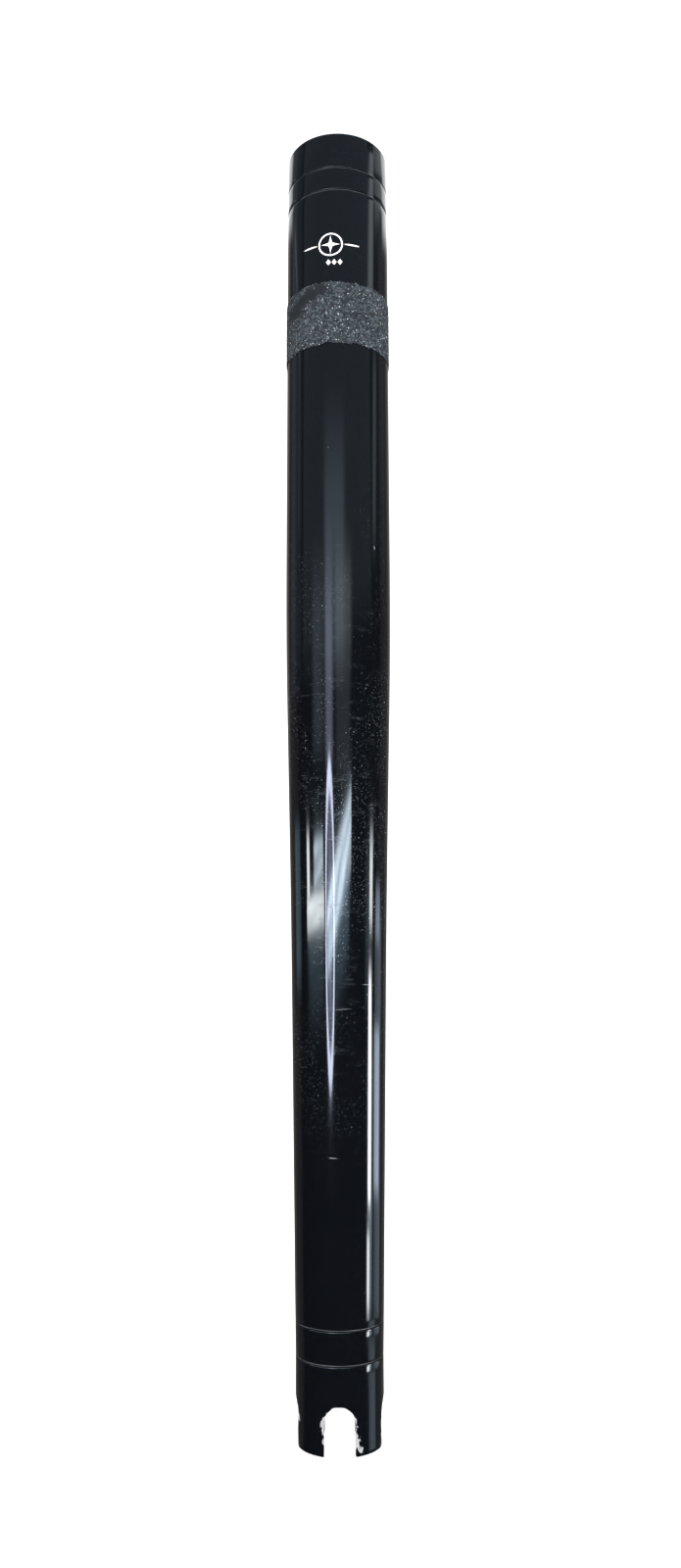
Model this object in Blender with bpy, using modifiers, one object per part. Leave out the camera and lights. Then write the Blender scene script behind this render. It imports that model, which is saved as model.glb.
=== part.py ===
"""Gimbal butt of a big-game fishing rod, in metres, +Z up.

A tapered aluminium tube carries a ferrule collar at its top, where the rod blank plugs in, and a
nock with two crossed slots at its foot, which drops over the cross pin of a chair or belt gimbal.
Each end is shouldered on a trim ring, so that a fine double line runs round the tube there. The
origin is the centre of the nock's lower end.
"""

import math

import bmesh
import bpy

# Overall sizes
OVERALL_LENGTH = 0.540
HEAD_DIAMETER = 0.04445
FOOT_DIAMETER = 0.0346

# Taper of the tube: a cylinder at the head, then an upper and a lower cone
HEAD_LENGTH = 0.2233
UPPER_CONE_LENGTH = 0.113
LOWER_CONE_SHARE = 0.472  # of the growth in diameter, from the foot to the head
BLEND_LENGTH = 0.060  # over which each corner of the outline is eased
TUBE_WALL = 0.0028

# Ferrule end
COLLAR_LENGTH = 0.0166
UPPER_TRIM_LENGTH = 0.0105
UPPER_SPIGOT_LENGTH = 0.026
COLLAR_SPIGOT_WALL = 0.0026
RIM_ROUNDING = 0.0012
MOUTH_CHAMFER = 0.0008
SOCKET_DEPTH = 0.095
SOCKET_WALL = 0.003
KEY_WIDTH = 0.0032
KEY_LENGTH = 0.020
KEY_PROUD = 0.0016
KEY_SEAT_DEPTH = 0.0014

# Gimbal end
NOCK_LENGTH = 0.032
NOCK_STEP = 0.0002  # that the nock stands back from the tube, all round
LOWER_TRIM_LENGTH = 0.0125
LOWER_SPIGOT_LENGTH = 0.038
NOCK_SPIGOT_WALL = 0.003
FOOT_ROUNDING = 0.0012
SLOT_WIDTH = 0.0118
SLOT_DEPTH = 0.0177

# Shared by both ends
BULKHEAD_THICKNESS = 0.005
SEAL_GROOVE_DEPTH = 0.0015
EDGE_CHAMFER = 0.00035
LEAD_CHAMFER = 0.0005

# Grip tape
TAPE_WIDTH = 0.029
TAPE_BELOW_RIM = 0.0703
TAPE_THICKNESS = 0.00035

# Clearances
FIT_CLEARANCE = 0.0003  # round a piece that slides into the tube
JOINT_GAP = 0.0003  # between faces that meet
TAPE_CLEARANCE = 0.0001
CUTTER_OVERSHOOT = 0.004  # that a cutter reaches past the face it opens

# Fineness of the solids
SEGMENTS = 64
ARC_STEPS = 4
BLEND_STEPS = 6
SLOT_ARC_STEPS = 16
SEAL_SEGMENTS = 48
SEAL_SECTION_SEGMENTS = 8
CREASE_ANGLE = math.radians(30)

# Heights of the joints and of the taper's corners
COLLAR_JOINT = OVERALL_LENGTH - COLLAR_LENGTH
UPPER_JOINT = COLLAR_JOINT - UPPER_TRIM_LENGTH
LOWER_JOINT = NOCK_LENGTH + LOWER_TRIM_LENGTH
HEAD_START = OVERALL_LENGTH - HEAD_LENGTH
CONE_JOIN = HEAD_START - UPPER_CONE_LENGTH
TUBE_TOP = UPPER_JOINT - JOINT_GAP / 2
TUBE_BOTTOM = LOWER_JOINT + JOINT_GAP / 2
UPPER_SPIGOT_END = COLLAR_JOINT - UPPER_SPIGOT_LENGTH
LOWER_SPIGOT_END = NOCK_LENGTH + LOWER_SPIGOT_LENGTH
SOCKET_BOTTOM = OVERALL_LENGTH - SOCKET_DEPTH
SOCKET_TOP = UPPER_SPIGOT_END - JOINT_GAP
UPPER_SEAL_HEIGHT = (TUBE_TOP + UPPER_SPIGOT_END) / 2
LOWER_SEAL_HEIGHT = (TUBE_BOTTOM + LOWER_SPIGOT_END) / 2

# Finishes: colour, roughness, metallic
BLACK_ANODISE = ((0.012, 0.014, 0.018, 1), 0.2, 1.0)
BARE_ALUMINIUM = ((0.6, 0.61, 0.62, 1), 0.35, 1.0)
STEEL = ((0.5, 0.5, 0.5, 1), 0.3, 1.0)
RUBBER = ((0.02, 0.02, 0.02, 1), 0.7, 0.0)
PLUG_PLASTIC = ((0.03, 0.03, 0.03, 1), 0.5, 0.0)
GRIP_TAPE = ((0.05, 0.06, 0.07, 1), 0.9, 0.0)


def eased_ramp(distance):
    """Zero before a corner and the distance after it, eased by a parabola over BLEND_LENGTH."""
    half = BLEND_LENGTH / 2
    if distance <= -half:
        return 0.0
    if distance >= half:
        return distance
    return (distance + half) ** 2 / (2 * BLEND_LENGTH)


def tube_radius(height):
    """Outer radius of the tube: two cones and a cylinder, with eased corners."""
    growth = HEAD_DIAMETER - FOOT_DIAMETER
    lower_slope = LOWER_CONE_SHARE * growth / (CONE_JOIN - LOWER_JOINT)
    upper_slope = (1 - LOWER_CONE_SHARE) * growth / UPPER_CONE_LENGTH
    diameter = FOOT_DIAMETER + lower_slope * (height - LOWER_JOINT)
    diameter += (upper_slope - lower_slope) * eased_ramp(height - CONE_JOIN)
    diameter -= upper_slope * eased_ramp(height - HEAD_START)
    return diameter / 2


def bore_radius(height):
    return tube_radius(height) - TUBE_WALL


COLLAR_SPIGOT_RADIUS = bore_radius(UPPER_SPIGOT_END) - FIT_CLEARANCE
COLLAR_BORE_RADIUS = COLLAR_SPIGOT_RADIUS - COLLAR_SPIGOT_WALL
SOCKET_RADIUS = bore_radius(SOCKET_BOTTOM) - FIT_CLEARANCE
SOCKET_BORE_RADIUS = SOCKET_RADIUS - SOCKET_WALL
NOCK_RADIUS = FOOT_DIAMETER / 2 - NOCK_STEP
NOCK_SPIGOT_RADIUS = bore_radius(TUBE_BOTTOM) - FIT_CLEARANCE
NOCK_BORE_RADIUS = NOCK_SPIGOT_RADIUS - NOCK_SPIGOT_WALL


def seal_section(height, spigot_radius):
    """Section diameter of a seal that fills its groove and the fit, less a gap on each side."""
    return bore_radius(height) - spigot_radius + SEAL_GROOVE_DEPTH - 2 * JOINT_GAP


def seal_groove(height, spigot_radius):
    """Profile points of the groove for a seal, from its upper lip to its lower one."""
    half_width = seal_section(height, spigot_radius) / 2 + JOINT_GAP
    floor = spigot_radius - SEAL_GROOVE_DEPTH
    return [
        (spigot_radius, height + half_width),
        (floor, height + half_width),
        (floor, height - half_width),
        (spigot_radius, height - half_width),
    ]


def rounding(radius, height, size, start, end):
    """Profile points of a round edge about its own centre.

    It runs between two angles in degrees, counted from +X to +Z.
    """
    degrees = [start + (end - start) * step / ARC_STEPS for step in range(ARC_STEPS + 1)]
    angles = [math.radians(angle) for angle in degrees]
    return [(radius + size * math.cos(a), height + size * math.sin(a)) for a in angles]


def material(name, finish):
    colour, roughness, metallic = finish
    made = bpy.data.materials.new(name)
    made.use_nodes = True
    shader = made.node_tree.nodes["Principled BSDF"]
    shader.inputs["Base Color"].default_value = colour
    shader.inputs["Roughness"].default_value = roughness
    shader.inputs["Metallic"].default_value = metallic
    return made


def add_part(name, mesh, finish, height):
    """Puts a mesh in the butt's collection at this height, with its own material."""
    part = bpy.data.objects.new(name, mesh)
    part.location.z = height
    part.parent = butt_origin
    mesh.materials.append(material(name + "_finish", finish))
    mesh.shade_smooth()
    mesh.set_sharp_from_angle(angle=CREASE_ANGLE)
    butt.objects.link(part)
    return part


def turned_mesh(name, profile, base):
    """A profile of (radius, height) points, which runs down its outer side, turned about Z.

    The mesh counts its heights from base.
    """
    outline = bpy.data.meshes.new(name + "_profile")
    bm = bmesh.new()
    points = [bm.verts.new((radius, 0, height - base)) for radius, height in profile]
    for upper, lower in zip(points, points[1:]):
        bm.edges.new((upper, lower))
    if profile[0][0] > 0:
        bm.edges.new((points[-1], points[0]))
    bm.to_mesh(outline)
    bm.free()
    lathe = bpy.data.objects.new(name + "_lathe", outline)
    bpy.context.scene.collection.objects.link(lathe)
    screw = lathe.modifiers.new("turn", "SCREW")
    screw.steps = SEGMENTS
    screw.render_steps = SEGMENTS
    screw.use_merge_vertices = True
    screw.merge_threshold = 0.00001
    bpy.context.view_layer.update()
    graph = bpy.context.evaluated_depsgraph_get()
    mesh = bpy.data.meshes.new_from_object(lathe.evaluated_get(graph))
    bpy.data.objects.remove(lathe)
    mesh.name = name
    return mesh


def add_turned(name, profile, finish, base):
    return add_part(name, turned_mesh(name, profile, base), finish, base)


def add_cutter(name, mesh):
    """A helper that is cut away from a part and doesn't show."""
    cutter = bpy.data.objects.new(name, mesh)
    cutter.hide_render = True
    cutter.display_type = "WIRE"
    cutters.objects.link(cutter)
    return cutter


def cut(part, cutter):
    """Takes the cutter's shape out of the part. Both stand in the same place along the butt."""
    cutter.parent = part
    boolean = part.modifiers.new(cutter.name, "BOOLEAN")
    boolean.operation = "DIFFERENCE"
    boolean.solver = "EXACT"
    boolean.object = cutter


def box_mesh(name, low, high):
    """A box between two corners."""
    mesh = bpy.data.meshes.new(name)
    bm = bmesh.new()
    bmesh.ops.create_cube(bm, size=1)
    for vertex in bm.verts:
        vertex.co = [a + (b - a) * (0.5 + c) for a, b, c in zip(low, high, vertex.co)]
    bm.to_mesh(mesh)
    bm.free()
    return mesh


def ring_profile(bottom, top, lower_radius, upper_radius, bore):
    """A plain ring with chamfered outer edges, whose outside may taper."""
    return [
        (upper_radius - EDGE_CHAMFER, top),
        (upper_radius, top - EDGE_CHAMFER),
        (lower_radius, bottom + EDGE_CHAMFER),
        (lower_radius - EDGE_CHAMFER, bottom),
        (bore, bottom),
        (bore, top),
    ]


def add_bulkhead(name, top):
    """A plug that closes the tube's bore under this height."""
    bottom = top - BULKHEAD_THICKNESS
    radius = bore_radius(bottom) - FIT_CLEARANCE
    profile = [
        (0, top),
        (radius - LEAD_CHAMFER, top),
        (radius, top - LEAD_CHAMFER),
        (radius, bottom + LEAD_CHAMFER),
        (radius - LEAD_CHAMFER, bottom),
        (0, bottom),
    ]
    return add_turned(name, profile, PLUG_PLASTIC, bottom)


def add_seal(name, height, spigot_radius):
    """A rubber ring in a spigot's groove."""
    section = seal_section(height, spigot_radius)
    middle = spigot_radius - SEAL_GROOVE_DEPTH + JOINT_GAP + section / 2
    bpy.ops.mesh.primitive_torus_add(
        major_radius=middle,
        minor_radius=section / 2,
        major_segments=SEAL_SEGMENTS,
        minor_segments=SEAL_SECTION_SEGMENTS,
    )
    torus = bpy.context.object
    mesh = torus.data
    bpy.data.objects.remove(torus)
    mesh.name = name
    return add_part(name, mesh, RUBBER, height)


def add_butt_tube():
    """The tapered tube between the two trim rings, with a wall of one thickness."""
    offsets = [BLEND_LENGTH * (step / BLEND_STEPS - 0.5) for step in range(BLEND_STEPS + 1)]
    stations = [corner + offset for corner in (CONE_JOIN, HEAD_START) for offset in offsets]
    low, high = TUBE_BOTTOM + EDGE_CHAMFER, TUBE_TOP - EDGE_CHAMFER
    heights = sorted(height for height in stations if low < height < high)
    profile = [(tube_radius(TUBE_TOP) - EDGE_CHAMFER, TUBE_TOP)]
    profile += [(tube_radius(height), height) for height in [high, *reversed(heights), low]]
    profile += [(tube_radius(TUBE_BOTTOM) - EDGE_CHAMFER, TUBE_BOTTOM)]
    profile += [(bore_radius(height), height) for height in [TUBE_BOTTOM, *heights, TUBE_TOP]]
    return add_turned("butt_tube", profile, BLACK_ANODISE, TUBE_BOTTOM)


def add_ferrule_collar():
    """The collar at the mouth. Its spigot carries the trim ring and a seal down into the tube."""
    radius = HEAD_DIAMETER / 2
    shoulder = COLLAR_JOINT + JOINT_GAP / 2
    profile = [
        *rounding(radius - RIM_ROUNDING, OVERALL_LENGTH - RIM_ROUNDING, RIM_ROUNDING, 90, 0),
        (radius, shoulder + EDGE_CHAMFER),
        (radius - EDGE_CHAMFER, shoulder),
        (COLLAR_SPIGOT_RADIUS, shoulder),
        *seal_groove(UPPER_SEAL_HEIGHT, COLLAR_SPIGOT_RADIUS),
        (COLLAR_SPIGOT_RADIUS, UPPER_SPIGOT_END + LEAD_CHAMFER),
        (COLLAR_SPIGOT_RADIUS - LEAD_CHAMFER, UPPER_SPIGOT_END),
        (COLLAR_BORE_RADIUS, UPPER_SPIGOT_END),
        (COLLAR_BORE_RADIUS, OVERALL_LENGTH - MOUTH_CHAMFER),
        (COLLAR_BORE_RADIUS + MOUTH_CHAMFER, OVERALL_LENGTH),
    ]
    return add_turned("ferrule_collar", profile, BLACK_ANODISE, UPPER_SPIGOT_END)


def add_ferrule_socket():
    """The sleeve that the rod's ferrule slides into, with a keyway open at its upper end."""
    profile = [
        (SOCKET_RADIUS, SOCKET_TOP),
        (SOCKET_RADIUS, SOCKET_BOTTOM),
        (SOCKET_BORE_RADIUS, SOCKET_BOTTOM),
        (SOCKET_BORE_RADIUS, SOCKET_TOP),
    ]
    socket = add_turned("ferrule_socket", profile, BARE_ALUMINIUM, SOCKET_BOTTOM)
    half_width = KEY_WIDTH / 2 + JOINT_GAP
    length = SOCKET_TOP - SOCKET_BOTTOM
    low = (-half_width, SOCKET_BORE_RADIUS - KEY_PROUD, length - KEY_LENGTH - JOINT_GAP)
    high = (half_width, SOCKET_BORE_RADIUS + KEY_SEAT_DEPTH + JOINT_GAP, length + CUTTER_OVERSHOOT)
    cut(socket, add_cutter("keyway_cutter", box_mesh("keyway_cutter", low, high)))
    return socket


def add_index_key():
    """The key that stands into the socket's bore and stops the ferrule from turning."""
    low = (-KEY_WIDTH / 2, SOCKET_BORE_RADIUS - KEY_PROUD, 0)
    high = (KEY_WIDTH / 2, SOCKET_BORE_RADIUS + KEY_SEAT_DEPTH, KEY_LENGTH)
    mesh = box_mesh("ferrule_index_key", low, high)
    key = add_part("ferrule_index_key", mesh, STEEL, SOCKET_TOP - KEY_LENGTH)
    bevel = key.modifiers.new("eased_edges", "BEVEL")
    bevel.width = JOINT_GAP
    bevel.segments = 2
    return key


def add_trim_rings():
    """The two rings that the collar and the nock are shouldered on."""
    gap = JOINT_GAP / 2
    radius = HEAD_DIAMETER / 2
    bottom, top = UPPER_JOINT + gap, COLLAR_JOINT - gap
    bore = COLLAR_SPIGOT_RADIUS + FIT_CLEARANCE
    upper = ring_profile(bottom, top, radius, radius, bore)
    add_turned("upper_trim_ring", upper, BLACK_ANODISE, bottom)
    bottom, top = NOCK_LENGTH + gap, LOWER_JOINT - gap
    bore = NOCK_SPIGOT_RADIUS + FIT_CLEARANCE
    lower = ring_profile(bottom, top, NOCK_RADIUS, FOOT_DIAMETER / 2, bore)
    add_turned("lower_trim_ring", lower, BLACK_ANODISE, bottom)


def slot_cutter_mesh():
    """A tunnel with a round roof, along Y, which reaches past the nock on every open side."""
    reach = NOCK_RADIUS + CUTTER_OVERSHOOT
    half_width = SLOT_WIDTH / 2
    spring = SLOT_DEPTH - half_width
    angles = [math.pi * step / SLOT_ARC_STEPS for step in range(SLOT_ARC_STEPS + 1)]
    outline = [(half_width * math.cos(a), spring + half_width * math.sin(a)) for a in angles]
    outline += [(-half_width, -CUTTER_OVERSHOOT), (half_width, -CUTTER_OVERSHOOT)]
    curve = bpy.data.curves.new("slot_outline", "CURVE")
    curve.dimensions = "2D"
    curve.fill_mode = "BOTH"
    curve.extrude = reach
    spline = curve.splines.new("POLY")
    spline.points.add(len(outline) - 1)
    for point, (across, up) in zip(spline.points, outline):
        point.co = (across, up, 0, 1)
    spline.use_cyclic_u = True
    guide = bpy.data.objects.new("slot_outline", curve)
    guide.rotation_euler.x = math.pi / 2
    bpy.context.scene.collection.objects.link(guide)
    bpy.context.view_layer.update()
    graph = bpy.context.evaluated_depsgraph_get()
    mesh = bpy.data.meshes.new_from_object(guide.evaluated_get(graph))
    mesh.transform(guide.matrix_world)
    bpy.data.objects.remove(guide)
    bm = bmesh.new()
    bm.from_mesh(mesh)
    bmesh.ops.remove_doubles(bm, verts=bm.verts, dist=0.00001)
    bmesh.ops.recalc_face_normals(bm, faces=bm.faces)
    bm.to_mesh(mesh)
    bm.free()
    return mesh


def add_gimbal_nock():
    """The foot, with crossed slots for a gimbal pin and a spigot up into the tube."""
    shoulder = NOCK_LENGTH - JOINT_GAP / 2
    profile = [
        (NOCK_SPIGOT_RADIUS - LEAD_CHAMFER, LOWER_SPIGOT_END),
        (NOCK_SPIGOT_RADIUS, LOWER_SPIGOT_END - LEAD_CHAMFER),
        *seal_groove(LOWER_SEAL_HEIGHT, NOCK_SPIGOT_RADIUS),
        (NOCK_SPIGOT_RADIUS, shoulder),
        (NOCK_RADIUS - EDGE_CHAMFER, shoulder),
        (NOCK_RADIUS, shoulder - EDGE_CHAMFER),
        *rounding(NOCK_RADIUS - FOOT_ROUNDING, FOOT_ROUNDING, FOOT_ROUNDING, 0, -90),
        (NOCK_BORE_RADIUS + LEAD_CHAMFER, 0),
        (NOCK_BORE_RADIUS, LEAD_CHAMFER),
        (NOCK_BORE_RADIUS, LOWER_SPIGOT_END),
    ]
    nock = add_turned("gimbal_nock", profile, BLACK_ANODISE, 0)
    tunnel = slot_cutter_mesh()
    for name, turn in (("slot_cutter_y", 0), ("slot_cutter_x", math.pi / 2)):
        cutter = add_cutter(name, tunnel)
        cutter.rotation_euler.z = turn
        cut(nock, cutter)
    return nock


def add_grip_tape():
    """A band of gritty tape round the head."""
    radius = HEAD_DIAMETER / 2 + TAPE_CLEARANCE
    top = OVERALL_LENGTH - TAPE_BELOW_RIM
    bottom = top - TAPE_WIDTH
    profile = [
        (radius + TAPE_THICKNESS, top),
        (radius + TAPE_THICKNESS, bottom),
        (radius, bottom),
        (radius, top),
    ]
    return add_turned("grip_tape_band", profile, GRIP_TAPE, bottom)


for leftover in list(bpy.data.objects):
    bpy.data.objects.remove(leftover)
butt = bpy.data.collections.new("gimbal_butt")
cutters = bpy.data.collections.new("cutters")
bpy.context.scene.collection.children.link(butt)
bpy.context.scene.collection.children.link(cutters)
butt_origin = bpy.data.objects.new("butt_origin", None)
butt.objects.link(butt_origin)

add_butt_tube()
add_ferrule_collar()
add_ferrule_socket()
add_index_key()
add_bulkhead("socket_bulkhead", SOCKET_BOTTOM - JOINT_GAP)
add_seal("upper_seal_ring", UPPER_SEAL_HEIGHT, COLLAR_SPIGOT_RADIUS)
add_trim_rings()
add_grip_tape()
add_gimbal_nock()
add_seal("lower_seal_ring", LOWER_SEAL_HEIGHT, NOCK_SPIGOT_RADIUS)
add_bulkhead("nock_bulkhead", LOWER_SPIGOT_END + JOINT_GAP + BULKHEAD_THICKNESS)
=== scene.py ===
"""Looks of a big-game rod's gimbal butt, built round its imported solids.

Lengths are in metres. +Z runs from the nock's leg ends up to the ferrule's mouth, and the camera
stands on the -Y side. Angles round the butt count from -Y towards +X.
"""

import functools
import logging
import math
from dataclasses import dataclass
from enum import Enum
from typing import Any, Callable, Union

import bpy
import numpy as np
from mathutils import Matrix, Vector


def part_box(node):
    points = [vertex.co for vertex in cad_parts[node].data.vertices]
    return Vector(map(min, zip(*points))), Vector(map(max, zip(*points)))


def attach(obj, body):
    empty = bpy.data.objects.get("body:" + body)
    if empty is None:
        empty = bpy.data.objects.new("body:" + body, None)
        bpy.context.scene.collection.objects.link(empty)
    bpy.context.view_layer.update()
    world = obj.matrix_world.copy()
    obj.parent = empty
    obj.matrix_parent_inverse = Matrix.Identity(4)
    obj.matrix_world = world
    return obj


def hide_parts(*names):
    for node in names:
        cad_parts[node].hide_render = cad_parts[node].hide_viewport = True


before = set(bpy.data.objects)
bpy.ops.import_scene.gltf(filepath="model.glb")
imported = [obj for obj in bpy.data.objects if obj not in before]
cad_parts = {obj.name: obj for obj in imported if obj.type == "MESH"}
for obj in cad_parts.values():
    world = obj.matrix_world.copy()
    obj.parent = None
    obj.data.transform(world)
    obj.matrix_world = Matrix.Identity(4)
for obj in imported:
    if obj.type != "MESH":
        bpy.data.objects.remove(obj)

log = logging.getLogger("gimbal_butt")

BODY = "root"
HALF_TURN = math.pi
FULL_TURN = 2 * math.pi
QUARTER_TURN = math.pi / 2
EIGHTH_TURN = math.pi / 4
SHARP_EDGE = math.radians(32)
JOINT_GAP = 0.0003
SEAL_DEPTH = 0.0015
WELD_CELL = 1e-6
WELD_SHIFT = 0.37
UNBLURRED = 0.01
CARD_COLUMNS = 33

Colour = tuple[float, float, float]
Triple = tuple[float, float, float]
Corner = tuple[float, float, float]
Sockets = dict[int | str, Any]
Material = bpy.types.Material
Thing = bpy.types.Object


class Slot(Enum):
    """Material slots of the record."""

    ANODISE = "black_anodise"
    ALUMINIUM = "bare_aluminium"
    KEY = "key_steel"
    SEAL = "seal_rubber"
    PLUG = "plug_plastic"
    TAPE = "grip_tape"


# ---------------------------------------------------------------- surfaces


@dataclass
class Surface:
    """A mesh in the making: points, and faces of four corners that face outwards.

    A face may name a corner twice, where a grid closes on a pole.
    """

    points: np.ndarray
    faces: np.ndarray

    @classmethod
    def grid(cls, points: np.ndarray, flipped: bool = False) -> "Surface":
        """An open grid.

        Args:
            points: Its points, in an array of rows, columns and three coordinates.
            flipped: Turns its faces round. Without it a face looks to the side where the columns
                run anticlockwise and the rows run up.

        Returns:
            The grid's surface, whose faces join each row to the next.
        """
        rows, columns = points.shape[:2]
        first = (np.arange(rows - 1)[:, None] * columns + np.arange(columns - 1)).ravel()
        faces = np.stack([first, first + 1, first + columns + 1, first + columns], axis=1)
        return cls(points.reshape(-1, 3), faces[:, ::-1] if flipped else faces)

    @classmethod
    def joined(cls, parts: list["Surface"]) -> "Surface":
        """Several surfaces put in one mesh, not yet merged."""
        starts = np.cumsum([0] + [len(part.points) for part in parts[:-1]])
        faces = [part.faces + start for part, start in zip(parts, starts)]
        return cls(np.concatenate([part.points for part in parts]), np.concatenate(faces))

    def turned(self, angle: float) -> "Surface":
        """The surface turned about Z."""
        c, s = math.cos(angle), math.sin(angle)
        matrix = np.array([[c, s, 0], [-s, c, 0], [0, 0, 1]])
        return Surface(self.points @ matrix, self.faces)

    def mirrored(self) -> "Surface":
        """The surface mirrored from left to right, with its faces turned back outwards."""
        return Surface(self.points * [-1, 1, 1], self.faces[:, ::-1])

    def weld_order(self) -> tuple[np.ndarray, np.ndarray]:
        """Makes points one where they share a small cell.

        Returns:
            The point that each welded point comes from, and the welded point of each point.
        """
        cells = np.round(self.points / WELD_CELL + WELD_SHIFT).astype(np.int64)
        _, first, index = np.unique(cells, axis=0, return_index=True, return_inverse=True)
        return first, index.reshape(-1)

    def placed(self, name: str, finish: Material) -> Thing:
        """Makes the surface an object at the origin, where a pole's faces have three corners."""
        repeated = self.faces == np.roll(self.faces, 1, axis=1)
        whole = self.faces[~repeated.any(axis=1)]
        at_pole = repeated.sum(axis=1) == 1
        triangles = self.faces[at_pole][~repeated[at_pole]].reshape(-1, 3)
        mesh = bpy.data.meshes.new(name)
        mesh.from_pydata(self.points.tolist(), [], [*whole.tolist(), *triangles.tolist()])
        mesh.materials.append(finish)
        thing = bpy.data.objects.new(name, mesh)
        bpy.context.scene.collection.objects.link(thing)
        return thing

    def piece(self, name: str, slot: Slot, finish: Material, *replaced: str) -> Thing:
        """Makes the surface a welded piece that rides on the butt.

        Args:
            name: The piece's name.
            slot: The record's slot that its finish comes from. It is not used.
            finish: Its finish.
            *replaced: CAD nodes that it stands for.

        Returns:
            The object, at the origin.
        """
        first, index = self.weld_order()
        thing = Surface(self.points[first], index[self.faces]).placed(name, finish)
        thing.data.validate()
        thing.data.shade_smooth()
        thing.data.set_sharp_from_angle(angle=SHARP_EDGE)
        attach(thing, BODY)
        if replaced:
            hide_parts(*replaced)
        log.info("%s: %d faces", name, len(thing.data.polygons))
        return thing


def ring_angles(columns: int) -> np.ndarray:
    """Angles of a full turn, whose last column lies on the first."""
    return np.linspace(0, FULL_TURN, columns + 1)


def lathe(radii: np.ndarray, heights: np.ndarray, angles: np.ndarray) -> np.ndarray:
    """Grid points of a turned shape.

    A point stands at (r sin a, -r cos a, h) for its radius r, its angle a and its height h.

    Args:
        radii: Radii by row, or by row and column.
        heights: Heights by row, or by row and column. They run up the outer side.
        angles: Angles of the columns.

    Returns:
        An array of rows, columns and three coordinates.
    """
    shape = (len(radii), len(angles))
    r, h = (
        np.broadcast_to(each if each.ndim == 2 else each[:, None], shape)
        for each in (radii, heights)
    )
    return np.stack([r * np.sin(angles), -r * np.cos(angles), h], axis=2)


def eased_profile(corners: list[Corner], steps: int = 5) -> np.ndarray:
    """A closed outline whose corners are rounded.

    Each corner is cut back along its two sides by r / tan(half its angle), and an arc of radius r
    about the point on its bisector joins the two cuts.

    Args:
        corners: (radius, height, rounding) of each corner.
        steps: Steps of an arc.

    Returns:
        Points of (radius, height), with the first one again at the end.
    """
    outline: list[np.ndarray] = []
    places = np.array([corner[:2] for corner in corners])
    for index, (*_, rounding) in enumerate(corners):
        here = places[index]
        if rounding <= 0:
            outline.append(here[None])
            continue
        back = places[index - 1] - here
        ahead = places[(index + 1) % len(places)] - here
        back, ahead = back / np.linalg.norm(back), ahead / np.linalg.norm(ahead)
        half = math.acos(float(np.clip(back @ ahead, -1, 1))) / 2
        bisector = (back + ahead) / np.linalg.norm(back + ahead)
        centre = here + bisector * rounding / math.sin(half)
        start = here + back * rounding / math.tan(half) - centre
        end = here + ahead * rounding / math.tan(half) - centre
        first = math.atan2(start[1], start[0])
        sweep = (math.atan2(end[1], end[0]) - first + HALF_TURN) % FULL_TURN - HALF_TURN
        arc = first + sweep * np.linspace(0, 1, steps + 1)
        outline.append(centre + rounding * np.stack([np.cos(arc), np.sin(arc)], axis=1))
    points = np.concatenate(outline)
    return np.concatenate([points, points[:1]])


def spun(profile: np.ndarray, columns: int) -> Surface:
    """A shape turned from an outline of (radius, height)."""
    return Surface.grid(lathe(profile[:, 0], profile[:, 1], ring_angles(columns)))


def smooth_step(values: np.ndarray) -> np.ndarray:
    """0 below 0 and 1 above 1, by 3t^2 - 2t^3 between."""
    t = np.clip(values, 0, 1)
    return t * t * (3 - 2 * t)


def rough_field(
    rng: np.random.Generator, shape: tuple[int, int], sizes: tuple[float, float]
) -> np.ndarray:
    """A random field that repeats at its edges, of mean 0 and deviation 1.

    White noise is blurred by a Gaussian, as a product with exp(-2 (pi f s)^2) in frequency.

    Args:
        rng: The source of its numbers.
        shape: Rows and columns.
        sizes: The Gaussian's deviation down the rows and along the columns, in cells.

    Returns:
        The field.
    """
    noise = np.fft.fft2(rng.standard_normal(shape))
    across = np.fft.fftfreq(shape[0])[:, None] * sizes[0]
    along = np.fft.fftfreq(shape[1])[None] * sizes[1]
    blurred = np.fft.ifft2(noise * np.exp(-2 * (math.pi**2) * (across**2 + along**2))).real
    return (blurred - blurred.mean()) / blurred.std()


# ---------------------------------------------------------------- shader bench


Value = Union["Wire", float]


def operation(name: str, swapped: bool = False) -> Callable[["Wire", Value], "Wire"]:
    """Makes a method that joins a wire to another value.

    Args:
        name: The Math node's operation.
        swapped: Puts the other value first.

    Returns:
        The method.
    """

    def joined(wire: "Wire", other: Value) -> "Wire":
        """Adds the Math node."""
        first, second = (other, wire) if swapped else (wire, other)
        return wire.bench.maths(name, first, second)

    return joined


class Wire:
    """A node's output, which adds Math nodes where it stands in an expression.

    at_least gives the larger of two values, and at_most the smaller.
    """

    def __init__(self, bench: "Bench", socket: bpy.types.NodeSocket) -> None:
        """Keeps the output and the bench that it is on."""
        self.bench = bench
        self.socket = socket

    __add__ = __radd__ = operation("ADD")
    __sub__, __rsub__ = operation("SUBTRACT"), operation("SUBTRACT", swapped=True)
    __mul__ = __rmul__ = operation("MULTIPLY")
    __truediv__ = operation("DIVIDE")
    __pow__ = operation("POWER")
    at_least, at_most = operation("MAXIMUM"), operation("MINIMUM")

    def __abs__(self) -> "Wire":
        """Size without its sign."""
        return self.bench.maths("ABSOLUTE", self)

    def rise(self, low: float, high: float) -> "Wire":
        """0 below low and 1 above high, eased between, or falling if low is above high."""
        start, end = (1.0, 0.0) if low > high else (0.0, 1.0)
        sockets = {0: self, 1: min(low, high), 2: max(low, high), 3: start, 4: end}
        settings = {"interpolation_type": "SMOOTHSTEP"}
        return self.bench.wire("ShaderNodeMapRange", 0, settings, sockets)


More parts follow.
